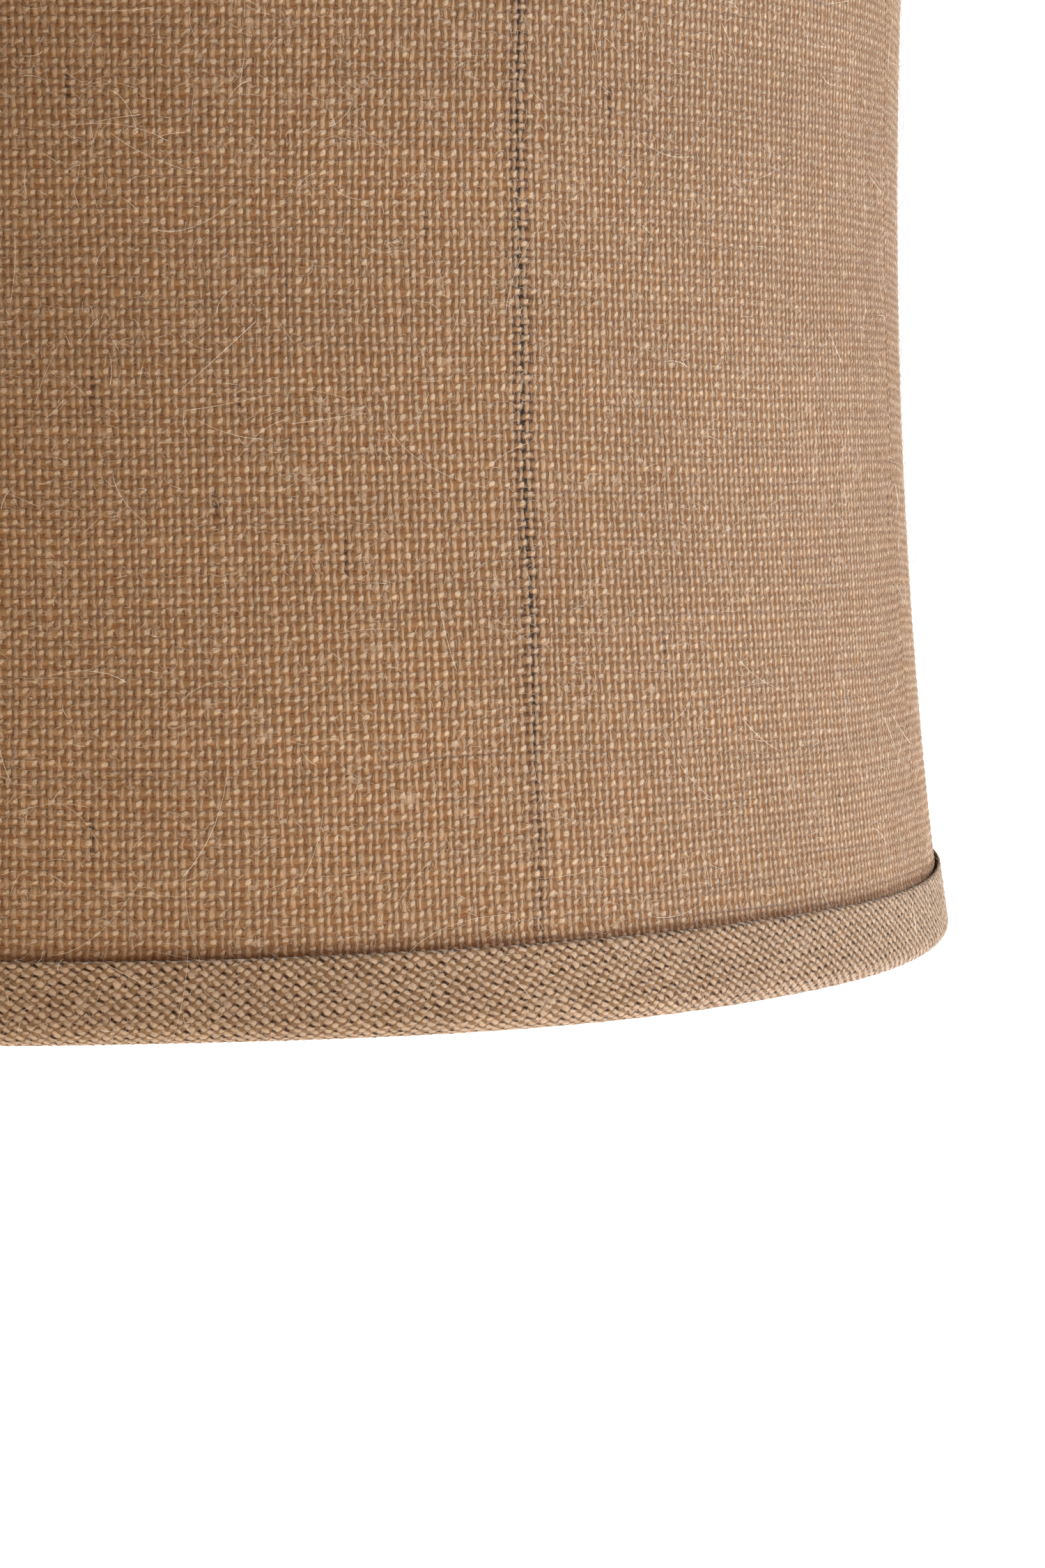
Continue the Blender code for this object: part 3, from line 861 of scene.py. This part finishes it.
def trim_band(name, upward):
    """A folded strip: its section carried round, with relief along the section's normal.

    With s the way along the strip and t the way across it, a set of yarns at angle a is
    counted by (t cos a - s sin a) / pitch.  An outer leaf's inset is stretched by
    leaf_height(angle), and its radius follows the outline.
    """
    rng = np.random.default_rng(7 + int(upward))
    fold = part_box(name)[0][2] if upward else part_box(name)[1][2]
    way = 1 if upward else -1
    runs = trim_section(lambda inset: fold + way * inset)
    section = np.concatenate(runs)
    run = np.repeat(np.arange(len(runs)), [len(points) for points in runs])
    step = np.roll(section, -1, 0) - section
    length = np.hypot(step[:, 0], step[:, 1])
    across = np.concatenate([[0], np.cumsum(length)[:-1]])
    tangent = np.roll(section, -1, 0) - np.roll(section, 1, 0)
    tangent /= np.hypot(tangent[:, 0], tangent[:, 1])[:, None]
    normal = np.stack([-tangent[:, 1], tangent[:, 0]], -1)

    rows, cols = len(section), TRIM_COLUMNS
    turn = np.arange(cols) / cols
    middle = face_radius(fold + way * OUTER_LEAF / 2, TRIM)
    along = turn * 2 * math.pi * middle
    total = 2 * math.pi * middle
    wander = drift(rng, rows, cols, 12, 30) * 0.35
    s, t = np.broadcast_arrays(along[None, :], across[:, None])

    def count(angle, s, t):
        return (t * math.cos(angle) - s * math.sin(angle)) / TRIM_PITCH

    u = wander - count(RISING, s, t)
    v = count(FALLING, s, t) + wander * 0.7
    outer = np.isin(run, SHOWN_RUNS)[:, None]
    bump = TRIM_CREST * (relief(u, v) - 0.2) * outer
    lapped = np.clip((along - (total - LAP)) / 0.003, 0, 1)[None, :] * LAP_STEP * outer
    ripple = RIPPLE * drift(rng, rows, cols, 10, 40) * outer
    shift = bump + lapped + ripple
    radius = section[:, :1] + normal[:, :1] * shift
    inset = section[:, 1:] + normal[:, 1:] * shift
    angle = LAP_ANGLE + turn[None, :] * 2 * math.pi
    leaf = np.isin(run, LEAF_RUNS)[:, None]
    share = np.clip((inset - UNDER_ROUND) / (OUTER_LEAF - UNDER_ROUND), 0, 1) * leaf
    taller = inset + share * (leaf_height(angle) - OUTER_LEAF)
    radius = radius + np.polyval(OUTLINE, fold + way * taller) - np.polyval(OUTLINE, fold + way * inset)
    height = fold + way * np.maximum(taller, -BELOW_FOLD)
    points = np.stack([radius * np.cos(angle), radius * np.sin(angle), height], -1)
    quads = grid_quads(rows, cols, wrap_rows=True, wrap_cols=True)
    if upward:
        quads = quads[:, ::-1]

    down, left = np.divmod(quads, cols)
    seam = (left.max(axis=1) - left.min(axis=1)) > 1
    left = np.where(seam[:, None] & (left == 0), cols, left)
    rim = (down.max(axis=1) - down.min(axis=1)) > 1
    row_ends = np.append(across, across[-1] + length[-1])
    down = np.where(rim[:, None] & (down == 0), rows, down)
    s_corner, t_corner = left / cols * total, row_ends[down]
    drawn = np.pad(wander, ((0, 1), (0, 1)), mode="edge")[down, left]
    rising = drawn - count(RISING, s_corner, t_corner)
    falling = count(FALLING, s_corner, t_corner) + drawn * 0.7
    yarns = np.stack([rising, falling], -1) + YARNS_AHEAD
    sheet = np.stack([left / cols, t_corner / row_ends[-1]], -1) * 0.996 + 0.002

    piece = make_piece(
        f"bias_{name}",
        points,
        [quads],
        trim_cloth,
        maps=[("yarns", yarns), ("OFBake", sheet)],
        values=[("behind", np.zeros(rows * cols)), ("trim_shadow", np.zeros(rows * cols))],
    )
    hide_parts(name)
    print(f"{piece.name}: strip {row_ends[-1] / 2 * 1000:.0f} mm by {(total + LAP) * 1000:.0f} mm")
    return piece


trims = [trim_band("bottom_trim", True), trim_band("top_trim", False)]
print("bias trims:", [piece.name for piece in trims])

# %% [markdown]
# ## The lining
#
# Inside the ribs hangs a thin cotton lining, in gores like the cover's.  It is not stretched as
# hard, so it waves a little between the ribs and draws into small puckers where the trims hold
# its ends.  It is an open sheet on a grid, and Solidify gives it its thickness.  Its weave is
# far finer than the burlap's, so here the same weave group works in the material alone.

# %% The lining's cotton
def cotton():
    """Unbleached cotton: a fine, even weave with a few thicker yarns."""
    material, t, shader = new_material("lining_cotton", 0.85, sheen=0.2)
    yarns = t.add("ShaderNodeUVMap", uv_map="yarns").outputs[0]
    made = t.add("ShaderNodeGroup", node_tree=weave)
    t.tree.links.new(yarns, made.inputs["Yarns"])
    for socket, value in {"Warp width": 0.95, "Weft width": 0.95, "Unevenness": 0.12}.items():
        made.inputs[socket].default_value = value
    height, tone = made.outputs["Height"], made.outputs["Tone"]
    # Darker in the weave's hollows: painted shade.
    colour = t.blend(t.ramp(height, 0.2, 0.9), (0.50, 0.42, 0.31, 1), (0.76, 0.69, 0.57, 1))
    coat = t.add("ShaderNodeTexCoord").outputs["Object"]
    shade = t.math("MULTIPLY_ADD", t.math("SUBTRACT", t.noise(coat, 22.0, 3.0), 0.5), 0.16, 0.94)
    shade = t.math("MULTIPLY_ADD", tone, 0.12, shade)
    colour = t.blend(1.0, colour, t.point(shade, shade, shade), "MULTIPLY")
    t.tree.links.new(colour, shader.inputs["Base Color"])
    raised = t.add("ShaderNodeBump", {"Height": height, "Distance": 0.00015, "Strength": 0.7})
    t.tree.links.new(raised.outputs[0], shader.inputs["Normal"])
    return material


lining_cloth = cotton()

# %% Build the four lining panels
LINING_OUT = 0.0048         # from the cover's face in to the lining's outer face
LINING_CLOTH = 0.0005
LINING_PITCH = 0.00045      # from yarn to yarn
WAVE = 0.0011
LINING_ROWS, LINING_COLUMNS = 121, 241
LINING_EDGE = 0.0016        # radians left free at a panel's sides
WAVE_MEAN, WAVE_SLOW, WAVE_PUCKER = 0.35, 0.30, 0.28
PUCKER_REACH = 0.09         # of the height, from each end
RIB_HOLD = 0.15             # share of a wave that is left where a rib holds the cloth


def lining_panel(index, name):
    """One gore of the lining: a turned sheet with waves, which only ever lie inwards.

    out = -(depth + waves), with waves = (long waves between ribs + puckers near the ends).
    """
    rng = np.random.default_rng(90 + index)
    low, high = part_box(name)
    turn = 2 * math.pi / len(LININGS) - LINING_EDGE
    start = direction(name) - turn / 2
    rows, cols = LINING_ROWS, LINING_COLUMNS
    v = np.linspace(0, 1, rows)[:, None]
    u = np.linspace(0, 1, cols)[None, :]
    angle = start + turn * u
    height = low[2] + (high[2] - low[2]) * v
    bay = np.sin(np.pi * from_rib(angle) / 2) ** 2
    slow = drift(rng, rows, cols, 22, 9)
    pucker = drift(rng, rows, cols, 10, 2.2) * np.exp(-np.minimum(v, 1 - v) / PUCKER_REACH)
    waves = np.clip(WAVE_MEAN + WAVE_SLOW * slow + WAVE_PUCKER * pucker, 0, 1.5)
    waves = waves * (RIB_HOLD + (1 - RIB_HOLD) * bay)
    points = shade_point(angle, height, -LINING_OUT - WAVE * waves)
    quads = grid_quads(rows, cols)
    width = turn * np.polyval(OUTLINE, waist)
    unit = np.stack(np.broadcast_arrays(u, v), -1).reshape(-1, 2)
    counts = unit * [width / LINING_PITCH, (high[2] - low[2]) / LINING_PITCH]
    piece = make_piece(
        f"cotton_{name}",
        points,
        [quads],
        lining_cloth,
        maps=[("yarns", counts[quads].reshape(-1, 2))],
    )
    shell = piece.modifiers.new("Thickness", "SOLIDIFY")
    shell.thickness = LINING_CLOTH
    shell.offset = -1.0
    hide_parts(name)
    return piece


linings = [lining_panel(i, name) for i, name in enumerate(LININGS)]
print(len(linings), "lining panels,", LINING_CLOTH * 1000, "mm thick")

# %% [markdown]
# ## The wire frame
#
# The rings and ribs are bright wire that was dipped in dark varnish.  Their shape is right
# already, so they only get a finish.  The spider, the three arms that carry the washer, is
# zinc-plated and can be seen from above, so it is drawn again with round wires, smooth bends
# and the beads of its spot welds.

# %% Two steels
def steel(name, dark, light, roughness, spread, grain):
    """Metal whose colour and roughness drift over it, with fine drawing marks."""
    material, t, shader = new_material(name, roughness, metallic=1.0)
    coat = t.add("ShaderNodeTexCoord").outputs["Object"]
    patches = t.ramp(t.noise(coat, 160.0, 4.0), 0.35, 0.68)
    t.tree.links.new(t.blend(patches, dark, light), shader.inputs["Base Color"])
    fine = t.noise(coat, grain, 3.0)
    rough = t.math("MULTIPLY_ADD", fine, spread, roughness - spread / 2)
    t.tree.links.new(rough, shader.inputs["Roughness"])
    raised = t.add("ShaderNodeBump", {"Height": fine, "Distance": 0.00004, "Strength": 0.5})
    t.tree.links.new(raised.outputs[0], shader.inputs["Normal"])
    return material


varnished = steel(
    "frame_steel",
    dark=(0.020, 0.016, 0.013, 1),
    light=(0.045, 0.036, 0.030, 1),
    roughness=0.42,
    spread=0.2,
    grain=900.0,
)
plated = steel(
    "fitter_steel",
    dark=(0.30, 0.27, 0.22, 1),
    light=(0.47, 0.44, 0.38, 1),
    roughness=0.34,
    spread=0.22,
    grain=1400.0,
)
for name in RIBS + ["top_ring", "bottom_ring"]:
    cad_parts[name].data.materials.clear()
    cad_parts[name].data.materials.append(varnished)
print("varnished wire:", len(RIBS) + 2, "nodes")

# %% Round wires along paths
def tubes(paths, aside, radii, sides):
    """Points and polygons of many tubes at once.

    paths is (n, m, 3), aside a vector across each path, (n, m, 3), and radii (n, m).  Round a
    path's point with tangent T, the wall is radius * (cos f * A + sin f * T x A), where A is
    aside made square to T.
    """
    count, steps = paths.shape[:2]
    tangent = np.gradient(paths, axis=1)
    tangent /= np.linalg.norm(tangent, axis=-1, keepdims=True)
    across = aside - (aside * tangent).sum(-1, keepdims=True) * tangent
    across /= np.linalg.norm(across, axis=-1, keepdims=True)
    other = np.cross(tangent, across)
    turn = np.arange(sides) * 2 * math.pi / sides
    wall = across[:, :, None] * np.cos(turn)[:, None] + other[:, :, None] * np.sin(turn)[:, None]
    points = paths[:, :, None] + wall * radii[:, :, None, None]
    first = (np.arange(count) * steps * sides)[:, None, None]
    quads = grid_quads(steps, sides, wrap_cols=True)[None] + first
    ends = np.array([np.arange(sides)[::-1], (steps - 1) * sides + np.arange(sides)])[None] + first
    return points.reshape(-1, 3), [quads.reshape(-1, 4), ends.reshape(-1, sides)]


# %% The spider and its washer
WIRE = 0.0015               # radius of the arms' wire
BEND_START = 0.070          # the arms leave the ring's level at this radius
BEND_END = 0.022            # and reach the washer's level at this one
WASHER_EDGE = 0.0125
WASHER_HOLE = 0.00555
CHAMFER = 0.0004
ARM_SIDES = 20
WASHER_SIDES = 72


def spider_arm(name):
    """An arm as a tube: level, then a smooth fall f^2 (3 - 2 f) to the washer, then level."""
    low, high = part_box(name)
    angle = direction(name)
    reach = np.hypot(node_points(name)[:, 0], node_points(name)[:, 1])
    radius = np.concatenate([
        [reach.max(), reach.max() - 0.004],
        np.linspace(reach.max() - 0.02, BEND_START + 0.01, 6),
        np.linspace(BEND_START, BEND_END, 25),
        [reach.min() + 0.003, reach.min() - 0.0002],
    ])
    fall = np.clip((BEND_START - radius) / (BEND_START - BEND_END), 0, 1)
    fall = fall**2 * (3 - 2 * fall)
    height = high[2] - WIRE - fall * (high[2] - low[2] - 2 * WIRE)
    path = np.stack([radius * math.cos(angle), radius * math.sin(angle), height], -1)
    aside = np.broadcast_to([-math.sin(angle), math.cos(angle), 0.0], path.shape)
    points, polygons = tubes(path[None], aside[None], np.full((1, len(path)), WIRE), ARM_SIDES)
    piece = make_piece(f"wire_{name}", points, polygons, plated)
    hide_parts(name)
    return path


def turned(name, section, columns, material):
    """A closed section (radius, height) carried round the Z axis."""
    turn = np.arange(columns) * 2 * math.pi / columns
    radius, height = section[:, :1], section[:, 1:]
    points = np.stack(np.broadcast_arrays(radius * np.cos(turn), radius * np.sin(turn), height), -1)
    quads = grid_quads(len(section), columns, wrap_rows=True, wrap_cols=True)
    return make_piece(name, points, [quads], material)


arm_paths = [spider_arm(name) for name in ARMS]
low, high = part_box("fitter_washer")
rim, bore, base, roof = WASHER_EDGE, WASHER_HOLE, low[2], high[2]
washer = turned(
    "plated_fitter_washer",
    np.array([
        (rim, base + CHAMFER), (rim, roof - CHAMFER), (rim - CHAMFER, roof), (bore + CHAMFER, roof),
        (bore, roof - CHAMFER), (bore, base + CHAMFER), (bore + CHAMFER, base), (rim - CHAMFER, base),
    ]),
    WASHER_SIDES,
    plated,
)
washer.data.set_sharp_from_angle(angle=math.radians(30))
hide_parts("fitter_washer")

# %% The weld beads
BEAD = 0.0021               # radius


def beads(name, places, size, material):
    """Slightly squashed balls, one at each place, from rings of points and two poles."""
    rings, sides = 7, 12
    polar = np.linspace(0, math.pi, rings + 2)[1:-1, None]
    turn = (np.arange(sides) * 2 * math.pi / sides)[None, :]
    x, y = np.sin(polar) * np.cos(turn), np.sin(polar) * np.sin(turn)
    ball = np.stack(np.broadcast_arrays(x, y, -np.cos(polar)), -1)
    ball = np.concatenate([ball.reshape(-1, 3), [[0, 0, -1], [0, 0, 1]]]) * [1.0, 1.0, 0.8]
    last = rings * sides
    ring = np.arange(sides)
    lower = np.stack([np.roll(ring, -1), ring, np.full(sides, last)], -1)
    upper = np.stack([last - sides + ring, last - sides + np.roll(ring, -1), np.full(sides, last + 1)], -1)
    shift = (np.arange(len(places)) * len(ball))[:, None, None]
    points = np.asarray(places)[:, None] + ball * size
    faces = [grid_quads(rings, sides, wrap_cols=True), lower, upper]
    polygons = [(f[None] + shift).reshape(-1, f.shape[-1]) for f in faces]
    return make_piece(name, points, polygons, material)


weld_places = [path[0] for path in arm_paths] + [path[-1] for path in arm_paths]
welds = beads("spider_welds", weld_places, BEAD, plated)

# %% [markdown]
# ## Loose fibres
#
# Jute is never smooth: every yarn sheds short, curly hairs, and here and there a long strand
# has worked free.  They soften the outline of the shade, and close up they are what tells
# burlap from a printed pattern.  Each hair is a bent tube with three sides.  All of them are
# worked out at once, as arrays, and they come in four pieces, one for each quarter turn.

# %% The fibres' material
def fibre_material():
    """Pale straw with a few reddish strands, told apart by a value that each hair carries."""
    material, t, shader = new_material("loose_fibre", 0.6, sheen=0.0)
    own = t.add("ShaderNodeAttribute", attribute_name="strand").outputs["Fac"]
    pale = t.blend(t.ramp(own, 0.0, 0.9), (0.42, 0.30, 0.18, 1), (0.78, 0.68, 0.52, 1))
    colour = t.blend(t.math("GREATER_THAN", own, 0.96), pale, (0.36, 0.15, 0.05, 1))
    t.tree.links.new(colour, shader.inputs["Base Color"])
    return material


straw = fibre_material()


# %% Grow the fibres
STRANDS = [                 # of one quarter: how many, shortest and longest, lift, radius, steps
    (2600, (0.0015, 0.0060), 0.0008, 0.000040, 5),
    (230, (0.0060, 0.0260), 0.0014, 0.000050, 9),
]


def hairs(rng, quarter, count, length, lift, thickness, steps):
    """Bent strands in one quarter of the shade, as centre lines with a vector across them.

    Along a strand with t from 0 to 1, the way along its first direction is length * t, the
    way across it bend * t^2, and its height over the cloth is a low arch or a rising end.
    """
    start = quarter * math.pi / 2 + rng.random((count, 1)) * math.pi / 2
    base = 0.002 + rng.random((count, 1)) * (HEIGHT - 0.004)
    size = length[0] * (length[1] / length[0]) ** rng.random((count, 1))
    heading = rng.choice([0.0, 0.5, 1.0, 1.5], (count, 1)) * math.pi + rng.normal(0, 0.55, (count, 1))
    bend = rng.normal(0, 0.45, (count, 1)) * size
    t = np.linspace(0, 1, steps)[None, :]
    forward, sideways = size * t, bend * t**2
    s = forward * np.cos(heading) - sideways * np.sin(heading)
    z = forward * np.sin(heading) + sideways * np.cos(heading)
    peak = lift * (0.3 + np.minimum(rng.exponential(0.6, (count, 1)), 1.8))
    arch = np.where(rng.random((count, 1)) < 0.55, 4 * t * (1 - t), t**1.5)
    height = np.clip(base + z, 0.0008, HEIGHT - 0.0008)
    band = (height < OUTER_LEAF) | (height > HEIGHT - OUTER_LEAF)
    out = peak * arch - 0.0002 + band * (TRIM + TRIM_GAP)
    fold = np.clip(np.minimum(height, HEIGHT - height) / UNDER_ROUND, 0, 1)
    out = out - UNDER_ROUND * (1 - np.sqrt(1 - (1 - fold) ** 2))
    angle = start + s / np.polyval(OUTLINE, base)
    paths = shade_point(angle, height, out)
    aside = np.stack(np.broadcast_arrays(np.cos(angle), np.sin(angle), 0.3), -1)
    radii = thickness * (0.6 + 0.5 * rng.random((count, 1))) * (1 - 0.6 * t)
    return paths, aside, radii


def fibre_piece(quarter):
    """Short fuzz and long strands of one quarter, in one mesh."""
    rng = np.random.default_rng(500 + quarter)
    kinds = [hairs(rng, quarter, *strands) for strands in STRANDS]
    points, polygons, strands, total = [], [], [], 0
    for paths, aside, radii in kinds:
        made, faces = tubes(paths, aside, radii, 3)
        points.append(made)
        polygons += [f + total for f in faces]
        strands.append(np.repeat(rng.random(len(paths)), paths.shape[1] * 3))
        total += len(made)
    piece = make_piece(
        f"loose_fibres_{quarter + 1}",
        np.concatenate(points),
        polygons,
        straw,
        values=[("strand", np.concatenate(strands))],
    )
    return piece


fibres = [fibre_piece(quarter) for quarter in range(4)]
print("hairs in all:", len(fibres) * sum(strands[0] for strands in STRANDS))

# %% [markdown]
# ## Floor, light and camera
#
# The shade stands on a plain pale table that glows a little, as a studio's light table
# does, so that the rim is lit from below too.  A surround gives soft light from all sides,
# white on the right, warm on the left and dimmer overhead.  One soft lamp on the right, a
# little bluer, gives the cloth its direction.

# %% Floor
FLOOR_HALF = 6.0
FLOOR_LEVEL = -0.0006
GLOW_NEAR, GLOW_FAR = 2.0, 0.80
GLOW_START, GLOW_END = 0.30, 0.90   # the glow fades between these distances


def light_table(size, level):
    """A plain pale floor with a light of its own, stronger under the shade."""
    material, t, shader = new_material("pale_floor", 0.9)
    shader.inputs["Base Color"].default_value = (0.85, 0.85, 0.84, 1)
    shader.inputs["Emission Color"].default_value = (1.0, 0.995, 0.98, 1)
    coat = t.add("ShaderNodeTexCoord").outputs["Object"]
    away = t.add("ShaderNodeVectorMath", {0: coat}, operation="LENGTH").outputs["Value"]
    glow = t.mix(t.ramp(away, GLOW_START, GLOW_END), GLOW_NEAR, GLOW_FAR)
    t.tree.links.new(glow, shader.inputs["Emission Strength"])
    corners = np.array([(-1, -1, 0), (1, -1, 0), (1, 1, 0), (-1, 1, 0)]) * size
    mesh = bpy.data.meshes.new("floor")
    mesh.from_pydata([tuple(c) for c in corners + [0, 0, level]], [], [(0, 1, 2, 3)])
    floor = bpy.data.objects.new("floor", mesh)
    bpy.context.scene.collection.objects.link(floor)
    mesh.materials.append(material)
    return floor


floor = light_table(FLOOR_HALF, FLOOR_LEVEL)

# %% Light
SURROUND = 1.16
TO_RIGHT = (0.8, 0.6, 0.0)
WARM, WHITE = (1.0, 0.80, 0.58, 1), (0.90, 0.90, 0.90, 1)
OVERHEAD = (0.28, 0.26, 0.24, 1)    # multiplies the surround above the shade

world = bpy.data.worlds.new("studio")
world.use_nodes = True
bpy.context.scene.world = world
surround = world.node_tree.nodes["Background"]
surround.inputs["Strength"].default_value = SURROUND
room = Tree(world.node_tree)
way = room.add("ShaderNodeTexCoord").outputs["Generated"]
facing = room.add("ShaderNodeVectorMath", {0: way, 1: TO_RIGHT}, operation="DOT_PRODUCT")
tint = room.blend(room.ramp(facing.outputs["Value"], -0.7, 0.45), WARM, WHITE)
rise = room.add("ShaderNodeSeparateXYZ", {0: way}).outputs[2]
ceiling = room.ramp(rise, 0.16, 0.70)
tint = room.blend(ceiling, tint, room.blend(1.0, tint, OVERHEAD, "MULTIPLY"))
room.tree.links.new(tint, surround.inputs["Color"])


def softbox(name, place, target, size, power, colour=(1.0, 1.0, 1.0)):
    """A square area lamp at a place, turned to face a target."""
    lamp = bpy.data.lights.new(name, "AREA")
    lamp.shape = "SQUARE"
    lamp.size = size
    lamp.energy = power
    lamp.color = colour
    holder = bpy.data.objects.new(name, lamp)
    holder.location = place
    holder.rotation_euler = (Vector(target) - Vector(place)).to_track_quat("-Z", "Y").to_euler()
    bpy.context.scene.collection.objects.link(holder)
    return holder


softbox(
    "key_lamp",
    place=(1.62, -0.45, 0.55),
    target=(0.0, 0.0, HEIGHT / 2),
    size=0.5,
    power=31.0,
    colour=(0.87, 1.04, 1.32),
)

# %% [markdown]
# The camera stands a little less than a metre away, a hand's breadth higher than the rim, and
# looks slightly down and to the right of the shade's middle, so that the shade fills the
# picture and its right edge shows.

# %% Camera
lens = bpy.data.cameras.new("camera")
lens.lens = 80.0
lens.sensor_width = 36.0
lens.sensor_fit = "VERTICAL"
lens.sensor_height = 36.0
camera = bpy.data.objects.new("camera", lens)
camera.location = (0.0, -0.956, 0.116)
camera.rotation_mode = "XYZ"
down, right, roll = math.radians(4.52), math.radians(5.31), math.radians(0.58)
camera.rotation_euler = (math.pi / 2 - down, roll, -right)
bpy.context.scene.collection.objects.link(camera)
bpy.context.scene.camera = camera
bpy.context.scene.view_settings.view_transform = "Standard"
bpy.context.scene.view_settings.look = "None"
